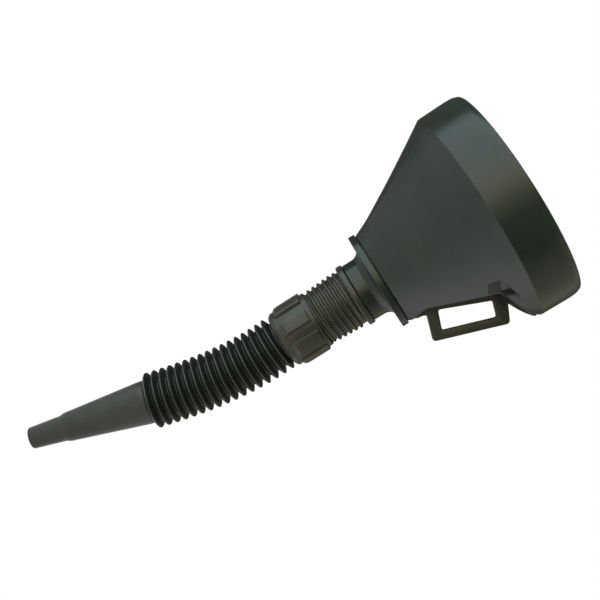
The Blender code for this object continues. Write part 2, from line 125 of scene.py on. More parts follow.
# hollow behind the finger loop, along and away from its floor
LOOP_TILT = math.radians(18.5)
FLOOR_OUT = 22.7
FLOOR_HEAD = 70.4
SHOULDER_SLOPE = 0.47
HOLLOW_FOOT_X = 34.48
HOLLOW_FOOT_SLOPE = 0.2695

# shallow flat pocket on each side of the loop's upper root, by angle from the loop's plane
POCKET_FACING = 41.0
POCKET_DISTANCE = 57.5
POCKET_SIDES = (40.0, 53.6)
POCKET_LEDGE_Z = 62.7
POCKET_LEDGE_RISE = 0.31
POCKET_DEPTH = 5.0

# finger loop and its web: corners along and away from the hollow's floor, and (x, z) points
LOOP_THICK = 5.0
LOOP_EDGE = 0.7
LOOP_CORNERS = ((26.3, 45.15), (75.8, 45.15))
WINDOW = ((34.0, 26.2), (68.4, 28.6), (68.4, 39.2), (33.5, 39.2))
WEB_FOOT = ((31.6, 8.0), (33.2, 9.6), (33.9, 14.3), (35.1, 16.0))
WEB_HEAD = ((55.4, 63.0), (62.1, 66.2), (66.7, 69.0), (70.6, 72.2), (71.3, 74.0), (70.3, 74.2))
WEB_INSIDE = ((69.0, 72.5), (46.5, 61.8), (43.6, 59.4), (28.98, 17.45))

# strainer: the plastic ring's seat and hole, and the gauze's wires
STRAINER_SEAT_R = STRAINER_R - 1.6
STRAINER_HOLE_R = STRAINER_R - 3.4
GAUZE_PITCH = 1.9
WIRE_R = 0.17

# thread, nut and hose; RIB_CENTRE and RIB_HALF_WIDTH are shares of the thread's pitch
BEAD_H = 4.4
THREAD_PITCH = 3.9
THREAD_TOP_Z = -17.6
THREAD_TURNS = 11
THREAD_LAPS_FROM_START = 10.8
THREAD_ROOT_TOP_R = 18.3
THREAD_ROOT_FOOT_R = 16.9
THREAD_H = 1.4
THREAD_SWELL = 0.3
RIB_CENTRE = 0.625
RIB_HALF_WIDTH = 0.36
RIB_ROUNDNESS = 0.8
NUT_PAD_TOP_Z = -46.0
NUT_PAD_R = 20.8
NUT_GROOVE_R = 19.0
NUT_PADS = 8
NUT_PHASE = math.radians(28.0)
NUT_PAD_HALF_DEG = (11.0, 12.4)
NUT_BEVEL_H = 8.0
NUT_BORE_R = 18.6
NUT_FLOOR_T = 2.3
HOSE_NECK_R = 13.7
HOSE_BORE_R = 12.0
HOSE_FLANGE_R = 17.1
HOSE_FLANGE_T = 1.8
CREST_R = 18.5
VALLEY_R = 14.4
HOSE_WALL = 0.9
HOSE_ROWS = 20
HOSE_COLUMNS = 112
RINGS = 17
# The first piece of the bellows starts inside the nut and the last one ends inside the nozzle's head.
# Shares run from one crest to the next.
FIRST_PIECE_START = 0.66
LAST_PIECE_END = 0.5
VALLEYS_BENT_FROM_BELOW = (3, 5, 11, 13)
SPLIT_VALLEY = 17
SPLIT_HALVES = ((0.0, 0.49), (0.51, 1.0))

# nozzle, down its own axis from the lowest crest (mm)
NOZZLE_SHOULDER_R = 14.3
NOZZLE_SHOULDER_FOOT = 6.0
NOZZLE_STEP = 61.3
NOZZLE_STEP_R = 9.5
NOZZLE_TIP = 85.1
NOZZLE_TIP_R = 7.1
NOZZLE_WALL = 1.4
SEAM_TOP = 9.5
SEAM_FOOT = NOZZLE_TIP - 0.6
SEAM_H = 0.16
SEAM_TURN = math.radians(73.0)


def smoothstep(low, high, value):
    share = min(1.0, max(0.0, (value - low) / (high - low)))
    return share * share * (3.0 - 2.0 * share)


def soft_min(a, b, reach):
    """Smaller of two lengths, with a round blend as wide as reach where they cross."""
    overlap = max(0.0, reach - abs(a - b)) / reach
    return min(a, b) - overlap * overlap * reach * 0.25


def soft_max(a, b, reach):
    return -soft_min(-a, -b, reach)


# ---------------------------------------------------------------- materials

def new_material(name):
    """A material with its node tree, its shader and the object's coordinates for its textures."""
    material = bpy.data.materials.new(name)
    material.use_nodes = True
    tree = material.node_tree
    place = tree.nodes.new("ShaderNodeTexCoord").outputs["Object"]
    return material, tree, tree.nodes["Principled BSDF"], place


def feed(tree, socket, value):
    """Give a node's input another node's output, or a plain number or colour."""
    if isinstance(value, bpy.types.NodeSocket):
        tree.links.new(value, socket)
    else:
        socket.default_value = value


def noise(tree, place, scale, detail=2.0, roughness=0.5):
    """Cloudy pattern between 0 and 1; a larger scale makes it finer."""
    texture = tree.nodes.new("ShaderNodeTexNoise")
    texture.inputs["Scale"].default_value = scale
    texture.inputs["Detail"].default_value = detail
    texture.inputs["Roughness"].default_value = roughness
    tree.links.new(place, texture.inputs["Vector"])
    return texture.outputs["Fac"]


def two_tone(tree, value, dark, light, low=0.0, high=1.0):
    """Colour that goes from dark to light as a value goes from low to high."""
    ramp = tree.nodes.new("ShaderNodeValToRGB")
    first, last = ramp.color_ramp.elements
    first.position = low
    first.color = (*dark, 1.0)
    last.position = high
    last.color = (*light, 1.0)
    tree.links.new(value, ramp.inputs["Fac"])
    return ramp.outputs["Color"]


def spread(tree, value, to_low, to_high, low=0.0, high=1.0, interpolation="LINEAR"):
    """Value that goes from to_low to to_high as another goes from low to high."""
    node = tree.nodes.new("ShaderNodeMapRange")
    node.interpolation_type = interpolation
    node.inputs["From Min"].default_value = low
    node.inputs["From Max"].default_value = high
    node.inputs["To Min"].default_value = to_low
    node.inputs["To Max"].default_value = to_high
    tree.links.new(value, node.inputs["Value"])
    return node.outputs["Result"]


def calculate(tree, operation, *values):
    """Result of one sum over node outputs and plain numbers."""
    node = tree.nodes.new("ShaderNodeMath")
    node.operation = operation
    for socket, value in zip(node.inputs, values):
        feed(tree, socket, value)
    return node.outputs["Value"]


def mix(tree, kind, factor, first, second):
    """Mix of two colours (kind RGBA) or two numbers (kind FLOAT)."""
    node = tree.nodes.new("ShaderNodeMix")
    node.data_type = kind
    tree.links.new(factor, node.inputs["Factor"])
    feed(tree, node.inputs["A"], first)
    feed(tree, node.inputs["B"], second)
    return node.outputs["Result"]


def add_bump(tree, shader, height, strength, depth):
    bump = tree.nodes.new("ShaderNodeBump")
    bump.inputs["Strength"].default_value = strength
    bump.inputs["Distance"].default_value = depth * MM
    tree.links.new(height, bump.inputs["Height"])
    tree.links.new(bump.outputs["Normal"], shader.inputs["Normal"])


def worn_and_highlit_edges(tree, place):
    """1 on convex edges, which are painted pale as part wear and part painted highlight, 0 on flat and
    hollow faces.
    """
    geometry = tree.nodes.new("ShaderNodeNewGeometry")
    edge = two_tone(tree, geometry.outputs["Pointiness"], (0.0, 0.0, 0.0), (1.0, 1.0, 1.0), 0.53, 0.64)
    return calculate(tree, "MULTIPLY", edge, noise(tree, place, 900.0, 4.0))


def moulded_plastic(name, dark, light, roughness, grain=0.012, scale=1.0, edge_wear_and_highlight_gain=2.2):
    """Injection-moulded polyethylene: faint cloudy colour, pale convex edges (partly wear, partly a painted
    highlight), scuffs and flow marks.
    """
    material, tree, shader, place = new_material(name)
    clouds = noise(tree, place, 28.0 * scale, 6.0, 0.6)
    colour = two_tone(tree, clouds, dark, light, 0.32, 0.72)
    # Convex edges are painted paler: partly wear, partly a painted highlight that a large gain turns into
    # bright highlight lines.
    pale = (*[c * edge_wear_and_highlight_gain + 0.01 for c in light], 1.0)
    colour = mix(tree, "RGBA", worn_and_highlit_edges(tree, place), colour, pale)
    tree.links.new(colour, shader.inputs["Base Color"])

    haze = noise(tree, place, 60.0 * scale, 8.0)
    haze = spread(tree, haze, roughness - 0.05, roughness + 0.07, 0.3, 0.7)
    tree.links.new(haze, shader.inputs["Roughness"])

    flow = noise(tree, place, 45.0)
    height = calculate(tree, "MULTIPLY_ADD", flow, 8.0, noise(tree, place, 1800.0, 3.0))
    add_bump(tree, shader, height, 0.35, grain)
    shader.inputs["IOR"].default_value = 1.5
    return material


def woven_brass(name):
    material, tree, shader, place = new_material(name)
    stain = noise(tree, place, 120.0, 5.0)
    colour = two_tone(tree, stain, (0.30, 0.19, 0.07), (0.72, 0.52, 0.22), 0.35, 0.65)
    tree.links.new(colour, shader.inputs["Base Color"])
    tree.links.new(spread(tree, stain, 0.25, 0.5), shader.inputs["Roughness"])
    add_bump(tree, shader, stain, 0.2, 0.02)
    shader.inputs["Metallic"].default_value = 1.0
    return material


def soft_rubber(name):
    material, tree, shader, place = new_material(name)
    pores = noise(tree, place, 2400.0)
    colour = two_tone(tree, pores, (0.008, 0.008, 0.009), (0.020, 0.020, 0.021))
    tree.links.new(colour, shader.inputs["Base Color"])
    tree.links.new(spread(tree, pores, 0.6, 0.85), shader.inputs["Roughness"])
    add_bump(tree, shader, pores, 0.5, 0.03)
    return material


# ---------------------------------------------------------------- mesh helpers

def finish_mesh(name, bm, material, sharp_deg=38.0):
    """Lift a mesh from heights above the collar into the row frame and make it an object."""
    bm.transform(Matrix.Translation((0.0, 0.0, STAND * MM)))
    bmesh.ops.recalc_face_normals(bm, faces=bm.faces)
    mesh = bpy.data.meshes.new(name)
    bm.to_mesh(mesh)
    bm.free()
    mesh.shade_smooth()
    mesh.set_sharp_from_angle(angle=math.radians(sharp_deg))
    mesh.materials.append(material)
    obj = bpy.data.objects.new(name, mesh)
    bpy.context.scene.collection.objects.link(obj)
    return obj


def closed_grid(bm, rows, columns, point):
    """Skin closed round both ways: point(row, column) gives each corner."""
    loops = []
    for i in range(rows):
        loops.append([bm.verts.new(point(i, j)) for j in range(columns)])
    for i in range(rows):
        here, there = loops[i], loops[(i + 1) % rows]
        for j in range(columns):
            k = (j + 1) % columns
            bm.faces.new((here[j], here[k], there[k], there[j]))


def even_turns(count):
    return [2.0 * math.pi * i / count for i in range(count)]


def turned(name, outline, turns, material, reshape=None, place=None, sharp_deg=38.0):
    """Closed outline of (radius, height) corners in mm turned about Z, through a list of angles.

    reshape, where it is given, works out a radius from all of a corner's values and the angle.
    """
    bm = bmesh.new()

    def point(row, column):
        corner, turn = outline[row], turns[column]
        radius = corner[0] if reshape is None else reshape(*corner, turn)
        return Vector((radius * math.cos(turn), radius * math.sin(turn), corner[1])) * MM

    closed_grid(bm, len(outline), len(turns), point)
    if place is not None:
        bm.transform(place)
    return finish_mesh(name, bm, material, sharp_deg)


def join_frame(piece, body, node):
    """Let a piece ride on a body, in place of a CAD node."""
    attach(piece, body)
    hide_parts(node)


def fillet(points, radii, steps=4):
    """Round the corners of a closed outline: one radius for each point, 0 keeps it sharp."""
    out = []
    count = len(points)
    side_share = 0.48
    for i in range(count):
        here = Vector(points[i])
        if radii[i] <= 0.0:
            out.append(tuple(here))
            continue
        back = Vector(points[i - 1]) - here
        ahead = Vector(points[(i + 1) % count]) - here
        reach = min(radii[i], back.length * side_share, ahead.length * side_share)
        start = here + back.normalized() * reach
        end = here + ahead.normalized() * reach
        for k in range(steps + 1):
            t = k / steps
            p = start.lerp(here, t).lerp(here.lerp(end, t), t)
            out.append(tuple(p))
    return out


def split_open(points, longest):
    """Split an open run of points so that no step is over longest."""
    out = []
    for a, b in zip(points, points[1:]):
        a, b = Vector(a), Vector(b)
        pieces = max(1, math.ceil((b - a).length / longest))
        out += [tuple(a.lerp(b, k / pieces)) for k in range(pieces)]
    out.append(tuple(points[-1]))
    return out


def split_closed(outline, longest):
    """Split a closed outline so that no step is over longest."""
    return split_open(outline + outline[:1], longest)[:-1]


# ---------------------------------------------------------------- bowl

def loop_frame(along, out):
    x = along * math.sin(LOOP_TILT) + out * math.cos(LOOP_TILT)
    z = along * math.cos(LOOP_TILT) - out * math.sin(LOOP_TILT)
    return x, z


def hollow_depth(z, inset):
    """Distance in X from the axis to the flattened floor, its sloping foot and its shoulder."""
    floor_x = (FLOOR_OUT - inset + z * math.sin(LOOP_TILT)) / math.cos(LOOP_TILT)
    deep_x, deep_z = loop_frame(FLOOR_HEAD, FLOOR_OUT)
    shoulder_x = deep_x + (z - deep_z) / SHOULDER_SLOPE
    shoulder_x -= inset * math.hypot(1.0, 1.0 / SHOULDER_SLOPE)
    foot_x = HOLLOW_FOOT_X - HOLLOW_FOOT_SLOPE * z
    foot_x -= inset * math.hypot(1.0, HOLLOW_FOOT_SLOPE)
    return soft_max(soft_max(floor_x, shoulder_x, 3.0), foot_x, 1.5)


def hollow_radius(radius, z, inset, turn):
    """Radius of the bowl's skin with the hollow behind the loop cut in, edges softened."""
    facing = math.cos(turn)
    if facing < 0.2 or z > CREASE_Z + 2.0 or z < COLLAR_H:
        return radius
    radius = pocket_radius(radius, z, math.degrees(abs(turn)), inset)
    return soft_min(radius, hollow_depth(z, inset) / facing, 1.0)


def pocket_radius(radius, z, side_deg, inset):
    """Flat recess in the cone beside the loop's upper root, one on each side of the loop."""
    ledge_z = POCKET_LEDGE_Z + POCKET_LEDGE_RISE * (POCKET_SIDES[1] - side_deg)
    share = 1.0 - smoothstep(ledge_z - 0.3, ledge_z + 0.7, z)
    share *= smoothstep(POCKET_SIDES[0] - 0.8, POCKET_SIDES[0], side_deg)
    share *= 1.0 - smoothstep(POCKET_SIDES[1], POCKET_SIDES[1] + 1.4, side_deg)
    flat = POCKET_DISTANCE / math.cos(math.radians(side_deg - POCKET_FACING)) - inset
    flat = max(flat, radius - POCKET_DEPTH)
    return radius + (min(radius, flat) - radius) * share


def bowl_outlines():
    """Outer outline from the mouth down and inner outline from the spigot up, with round corners."""
    shelf_r = CONE_FOOT_R - WALL_ACROSS_CONE
    lip_in = MOUTH_R - LIP_WIDTH
    band = [(MOUTH_R, MOUTH_Z), (BAND_R - 0.3, LIP_Z + 3.4), (BAND_R, LIP_Z - 1.5), (CREASE_R, CREASE_Z)]
    cone = list(CONE_SWELL) + [(CONE_FOOT_R + 0.9, COLLAR_H + 1.0), (CONE_FOOT_R + 0.3, COLLAR_H)]
    collar = [(COLLAR_R, COLLAR_H), (COLLAR_R, 0.0), (NECK_R + 2.2, -0.1)]
    neck = [(NECK_R, -3.9), (NECK_R, NECK_FOOT_Z), (SPIGOT_R, NECK_FOOT_Z), (SPIGOT_R, SPIGOT_FOOT_Z)]
    outer = band + cone + collar + neck
    outer_round = [0.9, 1.0, 1.5, CREASE_ROUND, 9.0, 9.0, 7.0, 0.5, 0.25]
    outer_round += [0.9, 0.6, 3.0, 2.4, 0.35, 0.2, 0.5]
    inner = [(BORE_R, SPIGOT_FOOT_Z), (BORE_R, -2.2), (17.2, 1.4), (shelf_r - 1.2, 2.4), (shelf_r, COLLAR_H)]
    inner += [(r - WALL_ACROSS_CONE, z) for r, z in reversed(CONE_SWELL)]
    inner += [(CREASE_R - WALL, CREASE_Z + 0.5), (BAND_R - WALL, LIP_Z - 1.0)]
    inner += [(lip_in, LIP_Z + 2.4), (lip_in, MOUTH_Z)]
    inner_round = [0.5, 2.5, 2.0, 0.5, 0.5, 7.0, 9.0, 9.0, 1.4, 1.5, 1.5, 0.8]
    steps = 5
    rounded = fillet(outer + inner, outer_round + inner_round, steps)
    outer_count = len(outer) * (steps + 1)
    return rounded[:outer_count], rounded[outer_count:]


def bowl_turns():
    """Angles of the bowl's corners, within half a turn: close together across the hollow."""
    reach = math.radians(62.0)
    near_count = 248
    far_count = 150
    near = [-reach + 2.0 * reach * i / near_count for i in range(near_count)]
    wide = 2.0 * math.pi - 2.0 * reach
    far = [reach + wide * i / far_count for i in range(far_count)]
    return [math.remainder(turn, 2.0 * math.pi) for turn in near + far]


def build_bowl(material):
    outer, inner = bowl_outlines()
    skin = [(radius, z, 0.0) for radius, z in split_open(outer, 0.6)]
    skin += [(radius, z, WALL) for radius, z in split_open(inner, 1.2)]
    bowl = turned("bowl_shell", skin, bowl_turns(), material, hollow_radius)
    join_frame(bowl, "funnel", "funnel_bowl")


def loop_outlines():
    """Outside and window of the finger loop's plate as closed (x, z) outlines."""
    low, high = [loop_frame(*corner) for corner in LOOP_CORNERS]
    outside = list(WEB_FOOT) + [low, high] + list(WEB_HEAD) + list(WEB_INSIDE)
    radii = [0.6, 1.2, 1.5, 0.9, 2.6, 2.6, 1.2, 3.0, 3.0, 1.5, 0.8, 0.4, 0.6, 1.5, 1.5, 2.0]
    window = [loop_frame(along, out) for along, out in WINDOW]
    return fillet(outside, radii, 6), fillet(window, [1.5] * 4, 6)


def build_loop(material):
    """Finger loop and web: one plate about y = 0 with rounded edges and a window."""
    curve = bpy.data.curves.new("loop_outline", "CURVE")
    curve.dimensions = "2D"
    curve.fill_mode = "BOTH"
    curve.extrude = (LOOP_THICK / 2.0 - LOOP_EDGE) * MM
    curve.bevel_depth = LOOP_EDGE * MM
    curve.bevel_resolution = 3
    curve.offset = -LOOP_EDGE * MM
    for outline in loop_outlines():
        spline = curve.splines.new("POLY")
        spline.points.add(len(outline) - 1)
        for target, (x, z) in zip(spline.points, outline):
            target.co = (x * MM, z * MM, 0.0, 1.0)
        spline.use_cyclic_u = True
    guide = bpy.data.objects.new("loop_outline", curve)
    bpy.context.scene.collection.objects.link(guide)
    bpy.context.view_layer.update()
    plate = bpy.data.meshes.new_from_object(guide)
    bm = bmesh.new()
    bm.from_mesh(plate)
    bpy.data.objects.remove(guide, do_unlink=True)
    bpy.data.curves.remove(curve)
    bpy.data.meshes.remove(plate)
    bmesh.ops.remove_doubles(bm, verts=bm.verts, dist=0.002 * MM)
    bm.transform(Matrix.Rotation(math.pi / 2.0, 4, "X"))
    loop = finish_mesh("finger_loop", bm, material)
    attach(loop, "funnel")


# ---------------------------------------------------------------- strainer

def build_strainer_rim(material):
    low, high = STRAINER_LOW.z, STRAINER_HIGH.z
    seat_z = low + 1.4
    points = [(STRAINER_R, low), (STRAINER_R, high), (STRAINER_SEAT_R, high), (STRAINER_SEAT_R, seat_z),
              (STRAINER_HOLE_R, seat_z), (STRAINER_HOLE_R, low)]
    outline = fillet(points, [0.4, 0.7, 0.6, 0.15, 0.4, 0.4], 4)
    rim = turned("strainer_rim", outline, even_turns(160), material)
    join_frame(rim, "strainer", "strainer_ring")


def build_gauze(material):
    """Plain weave of round wires, with a flat hem around its edge."""
    reach = STRAINER_SEAT_R - 0.45
    longest_offset = reach - 0.6
    level = (GAUZE_LOW.z + GAUZE_HIGH.z) / 2.0
    bm = bmesh.new()
    count = int(reach / GAUZE_PITCH)
    for i in range(-count, count + 1):
        offset = (i + 0.5) * GAUZE_PITCH
        if abs(offset) > longest_offset:
            continue
        half = math.sqrt(reach * reach - offset * offset)
        weave_wire(bm, offset, half, level, True, i)
        weave_wire(bm, offset, half, level, False, i)
    gauze = finish_mesh("strainer_mesh", bm, material)
    join_frame(gauze, "strainer", "strainer_gauze")

    hem_in = reach - 1.1
    low, high = level - 0.24, level + 0.24
    hem = fillet([(reach, low), (reach, high), (hem_in, high), (hem_in, low)], [0.15] * 4, 2)
    rim = turned("strainer_mesh_hem", hem, even_turns(128), material)
    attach(rim, "strainer")


def weave_wire(bm, offset, half, level, along_x, index):
    """One wire of the plain weave, over and under the wires that cross it."""
    steps = max(4, int(2.0 * half / (GAUZE_PITCH / 3.0)))
    sign = 1.0 if along_x else -1.0
    sides = 5
    rings = []
    for k in range(steps + 1):
        run = -half + 2.0 * half * k / steps
        lift = sign * WIRE_R * math.cos(math.pi * (run / GAUZE_PITCH - 0.5) + math.pi * index)
        ring = []
        for turn in even_turns(sides):
            side = offset + WIRE_R * math.cos(turn)
            up = WIRE_R * math.sin(turn) + lift + level
            x, y = (run, side) if along_x else (side, run)
            ring.append(bm.verts.new(Vector((x, y, up)) * MM))
        rings.append(ring)
    for first, second in zip(rings, rings[1:]):
        for c in range(sides):
            d = (c + 1) % sides
            bm.faces.new((first[c], first[d], second[d], second[c]))
    bm.faces.new(rings[0])
    bm.faces.new(rings[-1])


# ---------------------------------------------------------------- thread and nut

def thread_root(z):
    share = (THREAD_TOP_Z - z) / (THREAD_TOP_Z - NUT_TOP_Z)
    share = min(1.0, max(0.0, share))
    return THREAD_ROOT_TOP_R + (THREAD_ROOT_FOOT_R - THREAD_ROOT_TOP_R) * share


def rib_share(z, turn):
    """Height share of the outside thread's rib at a height and an angle, 0 to 1."""
    start_z = THREAD_TOP_Z - THREAD_PITCH * THREAD_LAPS_FROM_START
    turn_share = turn / (2.0 * math.pi)
    along = (z - start_z) / THREAD_PITCH - turn_share
    phase = along - math.floor(along)
    lap = math.floor(along) + turn_share
    rise = smoothstep(0.0, 0.5, lap)
    fall = 1.0 - smoothstep(THREAD_TURNS - 1.5, THREAD_TURNS - 1.0, lap)
    distance = min(1.0, abs(phase - RIB_CENTRE) / RIB_HALF_WIDTH)
    return math.cos(distance * math.pi / 2.0) ** RIB_ROUNDNESS * rise * fall


def thread_radius(z, turn):
    """Radius of the threaded wall, with a slightly fuller thread on the middle of its seen stretch."""
    below_bead = 1.0 - smoothstep(-23.0, -19.0, z)
    swell = THREAD_SWELL * smoothstep(NUT_TOP_Z + 1.0, NUT_TOP_Z + 4.0, z) * below_bead
    return thread_root(z) + swell * 0.6 + (THREAD_H + swell) * rib_share(z, turn)


def build_adapter(material):
    """Tube with a bead at its top; the rows of its wall get their radius from the thread."""
    socket_r = SPIGOT_R + 0.3
    shelf_z = SPIGOT_FOOT_Z - 1.0
    passage_r = 13.4
    bead_foot = BEAD_TOP_Z - BEAD_H
    head = [(socket_r, shelf_z), (socket_r, BEAD_TOP_Z), (BEAD_R, BEAD_TOP_Z), (BEAD_R, bead_foot),
            (thread_root(bead_foot), bead_foot)]
    head = fillet(head, [0.2, 0.3, 1.3, 1.3, 0.5], 6)
    wall_top = bead_foot - 0.4
    wall_foot = ADAPTER_FOOT_Z + 0.5
    rows = 440
    wall = [(None, wall_top + (wall_foot - wall_top) * k / rows) for k in range(1, rows)]
    foot = [(thread_root(ADAPTER_FOOT_Z), ADAPTER_FOOT_Z), (passage_r, ADAPTER_FOOT_Z), (passage_r, shelf_z)]
    foot = fillet(foot, [0.4, 0.4, 0.2], 3)

    def reshape(radius, z, turn):
        return thread_radius(z, turn) if radius is None else radius

    adapter = turned("adapter_tube", head + wall + foot, even_turns(144), material, reshape, sharp_deg=50.0)
    join_frame(adapter, "adapter", "threaded_adapter")


def pad_share(turn):
    """1 on a grip pad, 0 in the groove between two pads, with soft shoulders."""
    period = 2.0 * math.pi / NUT_PADS
    offset = math.degrees(abs((turn - NUT_PHASE + period / 2.0) % period - period / 2.0))
    return 1.0 - smoothstep(*NUT_PAD_HALF_DEG, offset)


def is_nut_outside(radius, z):
    """True on the nut's outside and top, False in its bore and in the hole in its floor."""
    in_bore = radius < NUT_BORE_R + 0.25 and z > NUT_FOOT_Z + NUT_FLOOR_T - 0.2
    return radius > NUT_BORE_R - 1.0 and not in_bore


def nut_radius(radius, z, turn):
    """The nut's radius with the grip pads added; they fade out at the top and towards the foot."""
    if not is_nut_outside(radius, z):
        return radius
    ends = smoothstep(-NUT_PAD_TOP_Z, -NUT_PAD_TOP_Z + 0.5, -z)
    bevel = 1.0 - 0.9 * smoothstep(-NUT_FOOT_Z - NUT_BEVEL_H, -NUT_FOOT_Z + 0.6, -z)
    return radius + (NUT_PAD_R - NUT_GROOVE_R) * pad_share(turn) * ends * bevel


def build_nut(material):
    floor_z = NUT_FOOT_Z + NUT_FLOOR_T
    hole_r = HOSE_NECK_R + 0.4
    points = [(NUT_BORE_R, NUT_TOP_Z), (NUT_GROOVE_R, NUT_TOP_Z), (NUT_GROOVE_R, NUT_FOOT_Z + NUT_BEVEL_H),
              (NUT_GROOVE_R - 0.3, NUT_FOOT_Z + 2.0), (NUT_GROOVE_R - 1.8, NUT_FOOT_Z),
              (hole_r, NUT_FOOT_Z), (hole_r, floor_z), (NUT_BORE_R, floor_z)]
    outline = fillet(points, [0.2, 0.35, 3.0, 0.9, 0.5, 0.4, 0.3, 0.3], 4)
    outline = split_closed(outline, 0.35)
    nut = turned("grip_nut", outline, even_turns(384), material, nut_radius, sharp_deg=45.0)
    join_frame(nut, "nut", "coupling_nut")


# ---------------------------------------------------------------- hose

def valley_points():
    """Places of the hose's hinges above the collar, from the top valley to the last one."""
    places = {}
    for joint in frame["joints"]:
        if "_valley_" in joint["name"]:
            lift = Vector((0.0, 0.0, STAND * MM))
            places[int(joint["name"][-2:])] = Vector(joint["pos_m"]) - lift
    return [places[i] for i in sorted(places)]


VALLEYS = valley_points()


def axis_frame(centre, up):
    """Matrix whose Z is up and whose Y stays the row's Y."""
    z = up.normalized()
    y = Vector((0.0, 1.0, 0.0))
    x = y.cross(z).normalized()
    place = Matrix((x, y, z)).transposed().to_4x4()
    place.translation = centre
    return place


def ring_frames():
    """Crest frames from the hose collar's virtual crest down to the nozzle's."""
    frames = []
    for upper, lower in zip(VALLEYS, VALLEYS[1:]):
        frames.append(axis_frame((upper + lower) / 2.0, upper - lower))
    return frames


RING_FRAMES = ring_frames()
RING_PITCH = (VALLEYS[0] - VALLEYS[1]).length / MM


def corrugation(share):
    """Radius of the hose's skin at a share of the way from one crest to the next."""
    wave = (1.0 - math.cos(2.0 * math.pi * share)) / 2.0
    return CREST_R - (CREST_R - VALLEY_R) * wave ** 0.95


def hose_piece(name, upper, lower, start_share, end_share, material):
    """Skin of the hose from one share to another of the way between two crest frames."""
    rows = HOSE_ROWS if end_share - start_share > 0.5 else HOSE_ROWS // 2
    shares = [start_share + (end_share - start_share) * k / rows for k in range(rows + 1)]
    rings = [(share, 0.0) for share in shares] + [(share, HOSE_WALL) for share in reversed(shares)]
    turns = even_turns(HOSE_COLUMNS)
    bm = bmesh.new()

    def point(row, column):
        share, inset = rings[row]
        turn = turns[column]
        radius = corrugation(share) - inset
        flat = Vector((radius * math.cos(turn), radius * math.sin(turn), 0.0)) * MM
        above = upper @ (flat + Vector((0.0, 0.0, -share * RING_PITCH * MM)))
        below = lower @ (flat + Vector((0.0, 0.0, (1.0 - share) * RING_PITCH * MM)))
        return above.lerp(below, smoothstep(0.0, 1.0, share))

    closed_grid(bm, len(rings), len(turns), point)
    piece = finish_mesh(name, bm, material, 60.0)
    return piece


def blend_valley(piece, number):
    """Bake a valley piece's placement into its mesh, the same way for every valley."""
    if number in VALLEYS_BENT_FROM_BELOW:
        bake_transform(piece)
    else:
        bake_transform(piece)


def build_bellows(material):
    """One piece for each valley, from crest to crest, and two stiff halves for the split valley."""
    above_first = RING_FRAMES[0] @ Matrix.Translation((0.0, 0.0, RING_PITCH * MM))
    below_last = RING_FRAMES[-1] @ Matrix.Translation((0.0, 0.0, -RING_PITCH * MM))
    crests = [above_first] + RING_FRAMES + [below_last]
    bodies = ["hose_top"] + [f"ring_{i:02d}" for i in range(1, RINGS + 1)] + ["nozzle"]
    for number in range(1, RINGS + 2):
        upper, lower = crests[number - 1:number + 1]
        upper_body, lower_body = bodies[number - 1:number + 1]
        name = f"bellows_valley_{number:02d}"
        if number == SPLIT_VALLEY:
            piece = hose_piece(name + "_top", upper, lower, *SPLIT_HALVES[0], material)
            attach(piece, upper_body)
            foot_half = hose_piece(name + "_foot", upper, lower, *SPLIT_HALVES[1], material)
            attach(foot_half, lower_body)
        else:
            start = FIRST_PIECE_START if number == 1 else 0.0
            end = LAST_PIECE_END if number == RINGS + 1 else 1.0
            piece = hose_piece(name, upper, lower, start, end, material)
            blend_valley(piece, number)
        if number > 1:
            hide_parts(f"bellows_ring_{number - 1:02d}")


def build_cuff(material):
    """Flanged top of the hose, held in the nut."""
    top = COLLAR_TOP
    flange_foot = top - HOSE_FLANGE_T
    foot = VALLEYS[0].z / MM - 0.9
    points = [(HOSE_BORE_R, top), (HOSE_FLANGE_R, top), (HOSE_FLANGE_R, flange_foot),
              (HOSE_NECK_R, flange_foot), (HOSE_NECK_R, foot), (HOSE_BORE_R, foot)]
    outline = fillet(points, [0.3, 0.3, 0.3, 0.4, 0.1, 0.2], 3)
    cuff = turned("hose_cuff", outline, even_turns(HOSE_COLUMNS), material)
    join_frame(cuff, "hose_top", "hose_collar")


def seam_share(turn):
    """1 on the nozzle's two mould parting lines, 0 elsewhere."""
    offset = abs((turn - SEAM_TURN + math.pi / 2.0) % math.pi - math.pi / 2.0)
    return 1.0 - smoothstep(0.008, 0.03, offset)


def has_seam(radius, z):
    """True on the stretch of the nozzle's outside that the parting lines run along."""
    down = -z
    if down < SEAM_TOP or down > SEAM_FOOT:
        return False
    if down > NOZZLE_STEP:
        return radius > NOZZLE_TIP_R - 0.1
    share = (NOZZLE_STEP - down) / (NOZZLE_STEP - NOZZLE_SHOULDER_FOOT)
    return radius > NOZZLE_STEP_R + (NOZZLE_SHOULDER_R - NOZZLE_STEP_R) * share - 0.5


def seamed_radius(radius, z, turn):
    return radius + SEAM_H * seam_share(turn) if has_seam(radius, z) else radius


